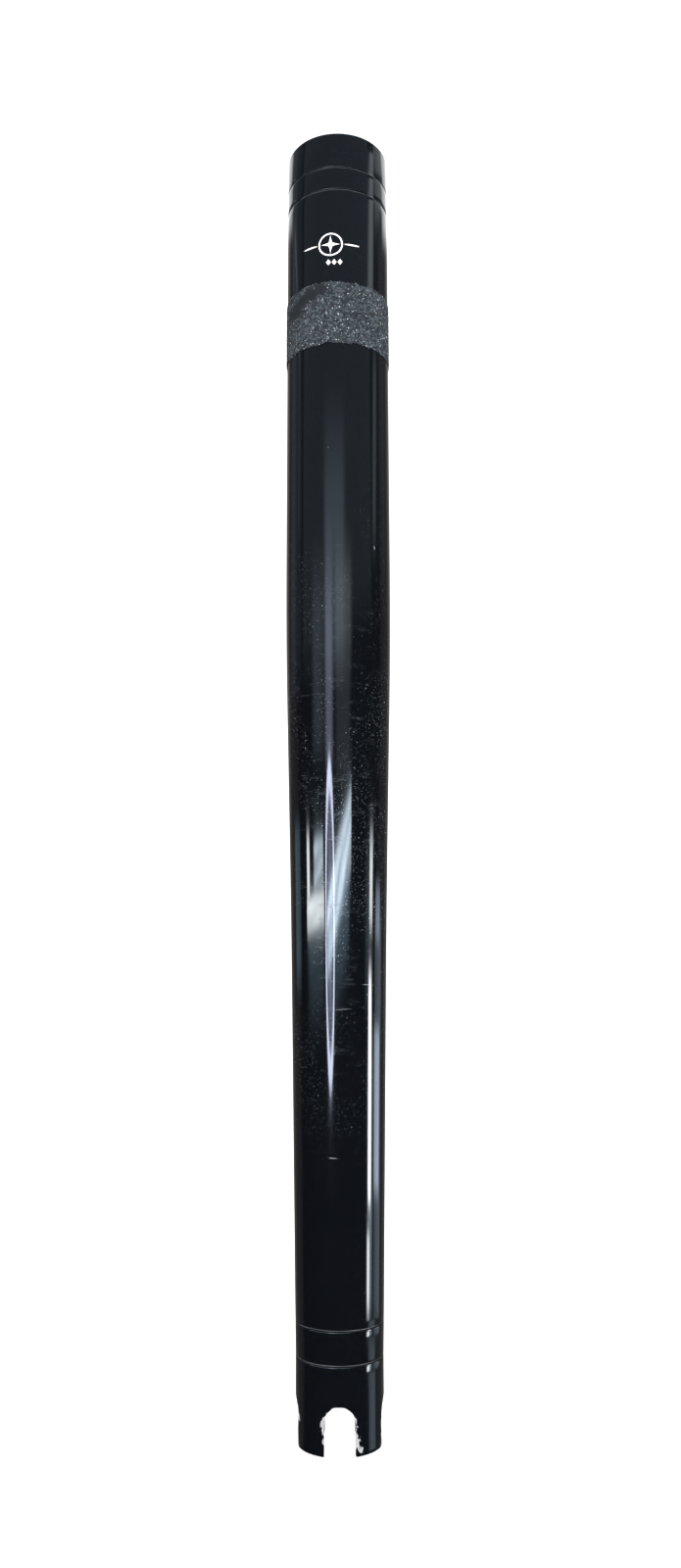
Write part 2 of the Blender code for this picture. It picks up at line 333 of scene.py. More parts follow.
class Bench:
    """The bench that one finish is wired on."""

    def __init__(self, name: str) -> None:
        """Starts a finish with nothing but its output."""
        self.material = bpy.data.materials.new(name)
        self.material.use_nodes = True
        self.tree = self.material.node_tree
        self.tree.nodes.clear()
        self.end = self.node("ShaderNodeOutputMaterial")

    def node(
        self,
        kind: str,
        settings: dict[str, Any] | None = None,
        sockets: Sockets | None = None,
    ) -> bpy.types.Node:
        """Adds a node.

        Args:
            kind: Its type.
            settings: Its settings, which are set first.
            sockets: Values or wires for its inputs, by name or place.

        Returns:
            The node.
        """
        made = self.tree.nodes.new(kind)
        for name, setting in (settings or {}).items():
            setattr(made, name, setting)
        for name, value in (sockets or {}).items():
            if isinstance(value, Wire):
                self.tree.links.new(value.socket, made.inputs[name])
            else:
                made.inputs[name].default_value = value
        return made

    def wire(
        self,
        kind: str,
        output: int | str,
        settings: dict[str, Any] | None = None,
        sockets: Sockets | None = None,
    ) -> Wire:
        """Adds a node and gives one of its outputs."""
        return Wire(self, self.node(kind, settings, sockets).outputs[output])

    def maths(self, operation: str, first: Value, second: Value = 0.0) -> Wire:
        """A Math node."""
        return self.wire("ShaderNodeMath", 0, {"operation": operation}, {0: first, 1: second})

    def place(self) -> Wire:
        """The point on the object, in metres."""
        return self.wire("ShaderNodeTexCoord", "Object")

    def axes(self, place: Wire) -> tuple[Wire, Wire, Wire]:
        """A point's three coordinates."""
        split = self.node("ShaderNodeSeparateXYZ", sockets={0: place})
        return tuple(Wire(self, split.outputs[axis]) for axis in "XYZ")

    def attribute(self, name: str) -> Wire:
        """A number that is kept on the mesh."""
        return self.wire("ShaderNodeAttribute", "Fac", {"attribute_name": name})

    def stretched(self, scale: float | Triple, shift: Triple = (0, 0, 0)) -> Wire:
        """The point with its coordinates scaled, all alike or each by its own, then shifted."""
        each = scale if isinstance(scale, tuple) else (scale,) * 3
        sockets = {"Vector": self.place(), "Scale": each, "Location": shift}
        return self.wire("ShaderNodeMapping", 0, {"vector_type": "POINT"}, sockets)

    def noise(
        self, scale: float | Triple, detail: float = 2.0, shift: Triple = (0, 0, 0)
    ) -> Wire:
        """Noise of about 0.5, with so many cells a metre along each axis."""
        sockets = {"Vector": self.stretched(scale, shift), "Scale": 1.0, "Detail": detail}
        return self.wire("ShaderNodeTexNoise", 0, None, sockets)

    def cells(self, scale: float, shift: Triple = (0, 0, 0)) -> tuple[Wire, Wire, Wire]:
        """Cells round scattered points: the distance to the point, and two random numbers each."""
        sockets = {"Vector": self.stretched(scale, shift), "Scale": 1.0}
        made = self.node("ShaderNodeTexVoronoi", {"feature": "F1"}, sockets)
        dice = self.node("ShaderNodeSeparateColor", sockets={0: Wire(self, made.outputs["Color"])})
        outputs = (made.outputs["Distance"], dice.outputs[0], dice.outputs[1])
        return tuple(Wire(self, output) for output in outputs)

    def tint(self, share: Value, first: Wire | Colour, second: Wire | Colour) -> Wire:
        """A mix of two colours."""
        ends = [side if isinstance(side, Wire) else (*side, 1.0) for side in (first, second)]
        settings = {"data_type": "RGBA", "clamp_factor": True}
        return self.wire("ShaderNodeMix", 2, settings, {0: share, 6: ends[0], 7: ends[1]})

    def bump(self, height: Wire, strength: float, distance: float) -> Wire:
        """A normal bent by a height."""
        sockets = {"Strength": strength, "Distance": distance, "Height": height}
        return self.wire("ShaderNodeBump", 0, None, sockets)

    def finish(self, **sockets: Any) -> Material:
        """Ends the finish in a Principled shader whose inputs are named with _ for a space."""
        named = {name.replace("_", " "): value for name, value in sockets.items()}
        for name, value in named.items():
            if isinstance(value, tuple) and len(value) == 3:
                named[name] = (*value, 1.0)
        return self.ended(self.wire("ShaderNodeBsdfPrincipled", 0, None, named))

    def glow(self, tint: Colour, strength: Value) -> Wire:
        """Light of its own."""
        sockets = {"Color": (*tint, 1.0), "Strength": strength}
        return self.wire("ShaderNodeEmission", 0, None, sockets)

    def ended(self, shader: Wire) -> Material:
        """Ends the finish in a shader."""
        self.tree.links.new(shader.socket, self.end.inputs[0])
        return self.material


# ---------------------------------------------------------------- finishes


@dataclass(frozen=True)
class Nick:
    """A small mark in the surface of the tube."""

    angle: float
    height: float
    length: float
    width: float
    lean: float = 0.0


@dataclass(frozen=True)
class WornSlots:
    """The crossed slots, whose edges have lost their anodise."""

    half_width: float
    spring: float
    reach: float


@dataclass(frozen=True)
class BlackAnodise:
    """Gloss black anodise over turned aluminium, dusty and scuffed from use, with painted highlight
    lines at its joints.
    """

    name: str
    tint: Colour = (0.0025, 0.0031, 0.0043)
    metal: Colour = (0.46, 0.47, 0.48)
    dust: Colour = (0.27, 0.31, 0.36)
    roughness: float = 0.075
    refraction: float = 1.6
    handled: tuple[float, float] = (0.155, 0.3)
    nicks: tuple[Nick, ...] = ()
    slots: WornSlots | None = None
    # Heights of joints that get a thin pale metal line: a painted highlight along each groove's
    # edge, drawn as anodise rubbed through.
    worn_edge_highlight: tuple[float, ...] = ()

    def nick_mask(self, bench: Bench, x: Wire, y: Wire, z: Wire) -> Wire:
        """Where the nicks have gone through to metal, with ragged edges."""
        ragged = bench.noise(5200, 1.0)
        spots: list[Wire] = []
        for nick in self.nicks:
            a, lean = math.radians(nick.angle), math.radians(nick.lean)
            across = x * math.cos(a) + y * math.sin(a)
            up = z - nick.height
            along = across * math.cos(lean) + up * math.sin(lean)
            beside = up * math.cos(lean) - across * math.sin(lean)
            reach = (along / nick.length) ** 2 + (beside / nick.width) ** 2
            front = (x * math.sin(a) - y * math.cos(a)).rise(0, 0.001)
            spots.append((reach + ragged * 1.6).rise(1.25, 0.95) * front)
        return functools.reduce(Wire.at_least, spots)

    def slot_mask(self, bench: Bench, slots: WornSlots, x: Wire, y: Wire, z: Wire) -> Wire:
        """Where the slots' edges are worn to metal: close to an edge, as far as a noise lets it."""
        rise = (z - slots.spring).at_least(0)
        gaps = [(side * side + rise * rise) ** 0.5 - slots.half_width for side in (x, y)]
        chips = bench.noise((900, 900, 700), 3.0) * 0.6
        chips = chips + bench.noise((260, 260, 130), 1.0, (3, 1, 4)) * 1.4
        low_down = z.rise(slots.spring + slots.half_width * 1.1, slots.spring * 0.9)
        width = (chips - 0.88) * slots.reach * (low_down * 0.8 + 0.2) * 5
        return (gaps[0].at_most(gaps[1]) - width).rise(0.00012, -0.00005)

    def make(self) -> Material:
        """Wires the finish."""
        bench = Bench(self.name)
        x, y, z = bench.axes(bench.place())
        low, high = self.handled
        band = z.rise(low - 0.06, low + 0.02) * z.rise(high + 0.09, high - 0.02)
        cloud = bench.noise((55, 55, 38), 3.0, (7, 2, 5))
        used = band * 0.93 + 0.07
        gap, size, light = bench.cells(620)
        specks = gap.rise(0.19, 0.09) * size.rise(0.45, 0.9)
        specks = specks * (cloud.rise(0.44, 0.62) * 0.85 + 0.15)
        gap, size, _ = bench.cells(1500, (11, 3, 8))
        fine = gap.rise(0.27, 0.1) * size.rise(0.35, 0.85) * cloud.rise(0.44, 0.58)
        dust = (specks * (light * 0.8 + 0.2) + fine * 0.5) * used
        lines = abs(bench.noise((42, 42, 5200), 1.0) - 0.5).rise(0.012, 0.002)
        lines = lines * bench.noise((120, 120, 300), 2.0, (1, 9, 4)).rise(0.56, 0.68)
        strokes = abs(bench.noise((700, 700, 90), 1.0, (5, 5, 2)) - 0.5).rise(0.008, 0.001)
        strokes = strokes * bench.noise((60, 60, 50), 2.0, (8, 3, 1)).rise(0.6, 0.7)
        scuffs = (lines * 0.8 + strokes * 0.5) * used
        colour = bench.tint((dust * 0.9).at_most(1), self.tint, self.dust)
        colour = bench.tint(scuffs * 0.25, colour, self.dust)
        rough = self.roughness + (cloud - 0.5) * 0.07 + dust * 0.35 + scuffs * 0.15
        # Painted highlight: a thin, patchy pale metal line at each joint stands for the groove
        # edges' highlights, drawn as worn anodise.
        for joint in self.worn_edge_highlight:
            patchy = bench.noise(90, 2.0, (3, 3, 3)).rise(0.3, 0.6) * 0.5 + 0.5
            worn_edge_highlight = abs(z - joint).rise(0.00034, 0.0001) * patchy * 0.5
            colour = bench.tint(worn_edge_highlight, colour, self.metal)
        bare: Wire | None = None
        if self.nicks:
            bare = self.nick_mask(bench, x, y, z)
        if self.slots is not None:
            bare = self.slot_mask(bench, self.slots, x, y, z)
        height = bench.noise((60, 60, 5000), 1.0, (2, 2, 2)) * 0.02 + scuffs * -0.5 + dust * 0.5
        if bare is not None:
            grit = bench.noise(3800, 2.0)
            dull = tuple(c * 0.45 for c in self.metal)
            metal = bench.tint(grit.rise(0.35, 0.65), dull, self.metal)
            colour = bench.tint(bare, colour, metal)
            rough = rough + bare * 0.4
            height = height - bare * (2.0 + grit * 3.0)
        normal = bench.bump(height, 0.18, 0.00002)
        return bench.finish(Base_Color=colour, Roughness=rough, IOR=self.refraction, Normal=normal)


@dataclass(frozen=True)
class BareAluminium:
    """Bored aluminium, with fine tool rings and oily patches."""

    colour: Colour = (0.55, 0.56, 0.57)
    stain: Colour = (0.2, 0.19, 0.17)

    def make(self) -> Material:
        """Wires the finish."""
        bench = Bench("bored_aluminium")
        rings = bench.noise((30, 30, 6500), 2.0)
        patches = bench.noise((120, 120, 60), 4.0, (4, 4, 4))
        dirty = patches.rise(0.5, 0.72)
        clean = bench.tint(rings, (0.42, 0.43, 0.44), self.colour)
        return bench.finish(
            Base_Color=bench.tint(dirty * 0.7, clean, self.stain),
            Metallic=1.0,
            Roughness=0.3 + dirty * 0.3 + rings * 0.1,
            Normal=bench.bump(rings, 0.35, 0.00002),
        )


@dataclass(frozen=True)
class KeySteel:
    """Ground stainless steel, with its grain along the key."""

    colour: Colour = (0.5, 0.5, 0.49)

    def make(self) -> Material:
        """Wires the finish."""
        bench = Bench("ground_key_steel")
        grain = bench.noise((9000, 9000, 260), 2.0)
        rub = bench.noise((500, 500, 300), 3.0)
        return bench.finish(
            Base_Color=bench.tint(rub, (0.33, 0.33, 0.32), self.colour),
            Metallic=1.0,
            Roughness=0.24 + grain * 0.16,
            Normal=bench.bump(grain, 0.3, 0.00001),
        )


@dataclass(frozen=True)
class DullBlack:
    """Nitrile rubber or acetal plastic: near black, with a fine skin and a bloom of dust."""

    name: str
    colour: Colour
    roughness: float
    skin: float

    def make(self) -> Material:
        """Wires the finish."""
        bench = Bench(self.name)
        skin = bench.noise(self.skin, 3.0)
        bloom = bench.noise(160, 3.0, (6, 1, 3)).rise(0.45, 0.75)
        pale = tuple(c * 2.6 + 0.01 for c in self.colour)
        return bench.finish(
            Base_Color=bench.tint(bloom * 0.6, self.colour, pale),
            Roughness=self.roughness + bloom * 0.15 + skin * 0.08,
            Normal=bench.bump(skin, 0.25, 0.00003),
        )


@dataclass(frozen=True)
class GritTape:
    """Mineral grit in grey-blue resin, with pale specks painted on some grains as their glints, and
    a torn, bare patch.
    """

    resin: Colour = (0.0155, 0.0205, 0.0255)
    grain: Colour = (0.064, 0.082, 0.095)
    pit: Colour = (0.007, 0.0085, 0.010)
    painted_glint: Colour = (0.8, 0.84, 0.82)

    def make(self) -> Material:
        """Wires the finish."""
        bench = Bench("grit_tape")
        grit, torn = bench.attribute("grit"), bench.attribute("torn")
        gap, dice, dice2 = bench.cells(1900)
        fine = bench.noise(2900, 2.0)
        lift = grit * 0.5 + fine * 0.5 + dice * 0.24 - 0.12
        colour = bench.tint(lift.rise(0.36, 0.5), self.pit, self.resin)
        colour = bench.tint(lift.rise(0.5, 0.7) * (dice * 0.8 + 0.3), colour, self.grain)
        # Painted highlight: a few grains get a near-white base colour for their glints, and a lower
        # roughness.
        painted_glint = dice2.rise(0.93, 0.95) * gap.rise(0.4, 0.22)
        colour = bench.tint(painted_glint * (1 - torn), colour, self.painted_glint)
        colour = bench.tint(torn * (fine.rise(0.4, 0.58) * 0.35 + 0.5), colour, self.pit)
        return bench.finish(
            Base_Color=colour,
            Roughness=0.72 - painted_glint * 0.3 + fine * 0.1,
            Normal=bench.bump(fine * 0.6 + gap * -0.5, 0.7, 0.0002),
        )


@dataclass(frozen=True)
class MarkInk:
    """White printing ink, worn thin in places."""

    colour: Colour = (0.9, 0.9, 0.91)
    worn: Colour = (0.3, 0.31, 0.33)

    def make(self) -> Material:
        """Wires the finish."""
        bench = Bench("mark_ink")
        wear = bench.noise(1500, 3.0).rise(0.6, 0.76)
        speck = bench.noise(5200, 2.0)
        return bench.finish(
            Base_Color=bench.tint(wear * 0.7, self.colour, self.worn),
            Roughness=0.45 + speck * 0.2,
            Normal=bench.bump(speck, 0.2, 0.00002),
        )


# ---------------------------------------------------------------- sub-assemblies


def ends(node: str) -> tuple[float, float]:
    """Heights of a node's lower and upper end."""
    low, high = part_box(node)
    return low.z, high.z


def seal_groove(node: str, spigot: float) -> list[Corner]:
    """Outline corners of the groove that a seal lies in, up a spigot's outer side."""
    low, high = ends(node)
    low, high = low - JOINT_GAP, high + JOINT_GAP
    floor = spigot - SEAL_DEPTH
    return [(spigot, low, 0.0), (floor, low, 0.0), (floor, high, 0.0), (spigot, high, 0.0)]


@dataclass
class ButtTube:
    """The tapered tube: a cylinder at the head, then an upper and a lower cone."""

    head_length: float = 0.2233
    upper_cone: float = 0.113
    lower_share: float = 0.472
    blend: float = 0.060
    wall: float = 0.0028
    edge: float = 0.00035
    head_radius: float = 0.022225
    foot_radius: float = 0.0173
    overall: float = 0.540
    joint: float = 0.0445
    columns: int = 288
    rows: int = 151
    rows_per_inner_row: int = 10

    def radius(self, height: np.ndarray) -> np.ndarray:
        """Outer radius at a height: each cone adds its slope past its corner.

        A corner is eased by a parabola, so the slope starts as (h + b / 2)^2 / 2b over the
        blend's length b.
        """
        growth = 2 * (self.head_radius - self.foot_radius)
        head = self.overall - self.head_length
        cone = head - self.upper_cone
        lower = self.lower_share * growth / (cone - self.joint)
        upper = (1 - self.lower_share) * growth / self.upper_cone

        def ramp(distance: np.ndarray) -> np.ndarray:
            """Zero before a corner and the distance after it, eased by a parabola."""
            eased = np.clip(distance + self.blend / 2, 0, self.blend) ** 2 / (2 * self.blend)
            return eased + np.maximum(distance - self.blend / 2, 0)

        diameter = 2 * self.foot_radius + lower * (height - self.joint)
        return (diameter + (upper - lower) * ramp(height - cone) - upper * ramp(height - head)) / 2

    def build(self, finish: Material) -> Thing:
        """Makes the tube's shell, with eased edges at both ends."""
        heights = np.linspace(*ends("butt_tube"), self.rows)
        outer = [(float(self.radius(h)), float(h), 0.0) for h in heights]
        outer[0] = (*outer[0][:2], self.edge)
        outer[-1] = (*outer[-1][:2], self.edge)
        inner = [(r - self.wall, h, 0.0) for r, h, _ in outer[:: -self.rows_per_inner_row]]
        tube = spun(eased_profile([*outer, *inner]), self.columns)
        return tube.piece("tube_shell", Slot.ANODISE, finish, "butt_tube")


@dataclass
class FerruleEnd:
    """The collar and its trim ring at the mouth, and the keyed socket behind them."""

    spigot_radius: float = 0.019125
    bore_radius: float = 0.016525
    rim: float = 0.0012
    mouth: float = 0.0008
    edge: float = 0.00035
    thread_pitch: float = 0.00127
    thread_depth: float = 0.00042
    thread_rows: int = 8
    thread_ends: tuple[float, float] = (0.503, 0.5365)
    ridge_flank: float = 1.9
    ridge_crest: float = 0.45
    lead: float = 0.0005
    mouth_edge: float = 0.0003
    socket_wall: float = 0.003
    socket_bevel: float = 0.00015
    keyway: tuple[float, float] = (0.0019, 0.0178)
    key_power: float = 9.0
    key_rows: int = 41
    key_columns: int = 48
    columns: int = 256
    plain_columns: int = 229
    keyway_columns: int = 9

    def thread(self, radii: np.ndarray, heights: np.ndarray, angles: np.ndarray) -> np.ndarray:
        """Cuts a screw thread into the bore.

        A ridge stands in by its depth times a trapezium wave of h / pitch - a / turn, and fades
        out over one pitch at both ends of the thread.

        Args:
            radii: Radii by row.
            heights: Heights by row.
            angles: Angles of the columns.

        Returns:
            Radii by row and column.
        """
        low, high = self.thread_ends
        turn = heights[:, None] / self.thread_pitch - angles / FULL_TURN
        wave = 1 - np.abs(2 * (turn % 1) - 1)
        ridge = np.clip(self.ridge_flank * wave - self.ridge_crest, 0, 1)
        inside = np.isclose(radii, self.bore_radius, atol=WELD_CELL)
        fade = smooth_step((heights - low) / self.thread_pitch)
        fade = fade * smooth_step((high - heights) / self.thread_pitch)
        return radii[:, None] - self.thread_depth * ridge * (fade * inside)[:, None]

    def collar(self, finish: Material) -> Thing:
        """Makes the collar with its spigot, seal groove and internal thread."""
        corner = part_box("ferrule_collar")
        low, high, radius = corner[0].z, corner[1].z, corner[1].x
        step = self.thread_pitch / self.thread_rows
        bore = np.arange(self.thread_ends[1], self.thread_ends[0], -step)
        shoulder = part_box("upper_trim_ring")[1].z + JOINT_GAP
        corners = [
            (self.spigot_radius, low, self.lead),
            *seal_groove("upper_seal_ring", self.spigot_radius),
            (self.spigot_radius, shoulder, 0.0),
            (radius, shoulder, self.edge),
            (radius, (shoulder + high) / 2, 0.0),
            (radius, high, self.rim),
            (self.bore_radius + self.mouth, high, self.mouth_edge),
            (self.bore_radius, high - self.mouth, 0.0),
            *[(self.bore_radius, float(h), 0.0) for h in bore],
            (self.bore_radius, low, 0.0),
        ]
        profile = eased_profile(corners, 7)
        angles = ring_angles(self.columns)
        radii = self.thread(profile[:, 0], profile[:, 1], angles)
        collar = Surface.grid(lathe(radii, profile[:, 1], angles))
        return collar.piece("threaded_collar", Slot.ANODISE, finish, "ferrule_collar")

    def socket(self, finish: Material) -> Thing:
        """Makes the socket, whose inner wall steps out round a keyway at its upper end.

        In the keyway's arc the inner wall lies on the plane of its floor, y = constant, and its
        outermost columns stand on the keyway's two sides.
        """
        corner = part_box("ferrule_socket")
        low, high, outer = corner[0].z, corner[1].z, corner[1].x
        inner = outer - self.socket_wall
        half, floor = self.keyway
        key_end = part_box("ferrule_index_key")[0].z - JOINT_GAP
        edge = math.asin(half / inner)
        top = math.asin(half / floor)
        plain = np.linspace(-HALF_TURN + edge, HALF_TURN - edge, self.plain_columns)
        keyed = np.linspace(-top, top, self.keyway_columns) + HALF_TURN
        arc = np.linspace(-edge, edge, self.keyway_columns) + HALF_TURN
        key_turn = np.concatenate([plain, keyed, plain[:1] + FULL_TURN])
        turn = np.concatenate([plain, arc, plain[:1] + FULL_TURN])
        flat = np.abs(floor / np.cos(keyed - HALF_TURN))
        key_wall = np.concatenate([np.full(len(plain), inner), flat, [inner]])
        skin, wall = np.full(len(turn), outer), np.full(len(turn), inner)
        rows = [
            (skin, low, turn),
            (skin, high, turn),
            (key_wall, high, key_turn),
            (key_wall, key_end, key_turn),
            (wall, key_end, turn),
            (wall, low, turn),
            (skin, low, turn),
        ]
        grid = np.concatenate([lathe(r[None], np.full((1, 1), h), a) for r, h, a in rows])
        socket = Surface.grid(grid)
        socket = socket.piece("keyed_socket", Slot.ALUMINIUM, finish, "ferrule_socket")
        bevel = socket.modifiers.new("eased_edges", "BEVEL")
        bevel.width = self.socket_bevel
        bevel.segments = 2
        bevel.limit_method = "ANGLE"
        bevel.angle_limit = math.radians(50)
        return socket

    def key(self, finish: Material) -> Thing:
        """Makes the key as a superellipse bar: its sides are flat and all its edges round.

        The section is |x|^n + |y|^n = 1, and it shrinks towards both ends by (1 - |t|^3n)^(1/n).
        """
        low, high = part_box("ferrule_index_key")
        centre, half = (low + high) / 2, (high - low) / 2
        power = self.key_power
        t = np.sin(np.linspace(-1, 1, self.key_rows) * QUARTER_TURN)[:, None]
        size = np.clip(1 - np.abs(t) ** (power * 3), 0, 1) ** (1 / power)
        turn = ring_angles(self.key_columns)
        reach = (np.abs(np.cos(turn)) ** power + np.abs(np.sin(turn)) ** power) ** (-1 / power)
        across = centre.x + half.x * size * reach * np.sin(turn)
        along = centre.y - half.y * size * reach * np.cos(turn)
        grid = np.stack([across, along, centre.z + half.z * t + 0 * across], axis=2)
        return Surface.grid(grid).piece("ground_key", Slot.KEY, finish, "ferrule_index_key")


@dataclass
class TrimRing:
    """A ring that one end of the tube is shouldered on. Its outside may taper."""

    node: str
    name: str
    lower_radius: float
    upper_radius: float
    bore: float
    edge: float = 0.00035
    columns: int = 288

    def build(self, finish: Material) -> Thing:
        """Makes the ring, with eased outer edges."""
        low, high = ends(self.node)
        taper = self.upper_radius - self.lower_radius
        side = [(self.lower_radius + taper * t, low + (high - low) * t) for t in (0.25, 0.5, 0.75)]
        corners = [
            (self.lower_radius, low, self.edge),
            *[(r, h, 0.0) for r, h in side],
            (self.upper_radius, high, self.edge),
            (self.bore, high, 0.0),
            (self.bore, low, 0.0),
        ]
        ring = spun(eased_profile(corners), self.columns)
        return ring.piece(self.name, Slot.ANODISE, finish, self.node)


@dataclass
class SealRing:
    """A rubber ring of round section in its groove."""

    node: str
    name: str
    columns: int = 160
    section: int = 20

    def build(self, finish: Material) -> Thing:
        """Makes the ring: its section is a circle about the middle of the groove."""
        low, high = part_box(self.node)
        minor = (high.z - low.z) / 2
        around = np.linspace(-QUARTER_TURN, 3 * QUARTER_TURN, self.section + 1)
        radii = high.x - minor + minor * np.cos(around)
        heights = (high.z + low.z) / 2 + minor * np.sin(around)
        ring = spun(np.stack([radii, heights], axis=1), self.columns)
        return ring.piece(self.name, Slot.SEAL, finish, self.node)


@dataclass
class Bulkhead:
    """A turned plug that closes the bore, with a shallow dish and a centre mark."""

    node: str
    name: str
    dish: float = 0.0004
    lead: float = 0.0005
    border: float = 0.9
    border_slope: float = 0.06
    rings: float = 90.0
    centre_mark: float = 0.03
    columns: int = 128
    face_rows: int = 30

    def build(self, finish: Material) -> Thing:
        """Makes the plug. Both faces fall by the dish, in rings, from a raised border."""
        low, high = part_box(self.node)
        radius = high.x
        share = np.linspace(0, self.border, self.face_rows)
        ringed = 0.85 + 0.15 * np.cos(share * self.rings)
        depth = self.dish * ringed * smooth_step((self.border - share) / self.border_slope)
        depth = depth + self.dish * np.exp(-((share / self.centre_mark) ** 2))
        face = [(float(s * radius), float(d), 0.0) for s, d in zip(share, depth)]
        border = [(radius, low.z, self.lead), (radius, high.z, self.lead)]
        lower = [(r, low.z + d, 0.0) for r, d, _ in face]
        upper = [(r, high.z - d, 0.0) for r, d, _ in face[::-1]]
        plug = spun(eased_profile([*lower, *border, *upper])[:-1], self.columns)
        return plug.piece(self.name, Slot.PLUG, finish, self.node)


@dataclass
class GripTape:
    """A band of grit tape with ragged edges and a patch that has torn away."""

    thickness: float = 0.00035
    backing: float = 0.00012
    grit: float = 0.00024
    grain_sizes: tuple[tuple[float, float], ...] = ((6, 7), (1.7, 1.9), (0.75, 0.85))
    wander: tuple[tuple[float, float], ...] = ((5, 0.00022), (0.9, 0.0002))
    bottom_edge: tuple[float, float] = (0.0004, 0.0012)
    top_edge: tuple[float, float] = (0.0005, 0.0014)
    columns: int = 620
    rows: int = 128
    seed: int = 11
    torn: tuple[tuple[float, float, float, float], ...] = (
        (-24, 0.4662, 0.0050, 0.0022),
        (-38, 0.4637, 0.0055, 0.0024),
        (-55, 0.4602, 0.0050, 0.0030),
    )

    def build(self, finish: Material) -> Thing:
        """Makes the band: a backing sheet, with grains as a blurred noise that stands up from it.

        Each edge wanders by two noises along the turn. The grit sinks to the backing inside the
        torn patch, which is a few ellipses with a noise on their outline. The mesh keeps the
        grit's height and the torn patch for the finish to read.
        """
        low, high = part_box("grip_tape_band")
        inside = high.x - self.thickness
        rng = np.random.default_rng(self.seed)
        shape = (self.rows, self.columns)
        coarse, medium, fine = (rough_field(rng, shape, sizes) for sizes in self.grain_sizes)
        edge = sum(
            rough_field(rng, (2, self.columns), (UNBLURRED, size)) * depth
            for size, depth in self.wander
        )
        bottom = low.z + np.clip(self.bottom_edge[0] + edge[0], 0, self.bottom_edge[1])
        top = high.z - np.clip(self.top_edge[0] + edge[1], 0, self.top_edge[1])
        angles = ring_angles(self.columns)
        share = np.linspace(0, 1, self.rows)[:, None]
        heights = bottom + (top - bottom) * share
        around = angles[:-1]
        patch = np.full(shape, 9.0)
        for angle, height, across, up in self.torn:
            turn = (around - math.radians(angle) + HALF_TURN) % FULL_TURN - HALF_TURN
            reach = (turn * inside / across) ** 2 + ((heights - height) / up) ** 2
            patch = np.minimum(patch, reach)
        torn = smooth_step((1.15 - patch + 0.45 * medium + 0.2 * fine) / 0.3)
        lift = 0.5 + 0.21 * fine + 0.06 * medium + 0.03 * coarse
        grit = np.clip(lift, 0, 1) * (1 - torn)
        border = smooth_step(np.minimum(share, 1 - share) * self.rows / 2.5)
        radii = inside + self.backing + self.grit * grit * (0.35 + 0.65 * border)
        radii, heights, grit, torn = (
            np.concatenate([values, values[:, :1]], axis=1)
            for values in (radii, heights, grit, torn)
        )
        bottom, top = heights[:1], heights[-1:]
        under = np.full((1, self.columns + 1), inside)
        radii = np.concatenate([radii, under, under, under, radii[:1]])
        heights = np.concatenate([heights, top, (bottom + top) / 2, bottom, bottom])
        surface = Surface.grid(lathe(radii, heights, angles))
        band = surface.piece("grit_band", Slot.TAPE, finish, "grip_tape_band")
        kept = surface.weld_order()[0]
        spare = np.zeros((4, self.columns + 1))
        for name, values in (("grit", grit), ("torn", torn)):
            flat = np.concatenate([values, spare]).ravel()[kept].astype(np.float32)
            band.data.attributes.new(name, "FLOAT", "POINT").data.foreach_set("value", flat)
        return band


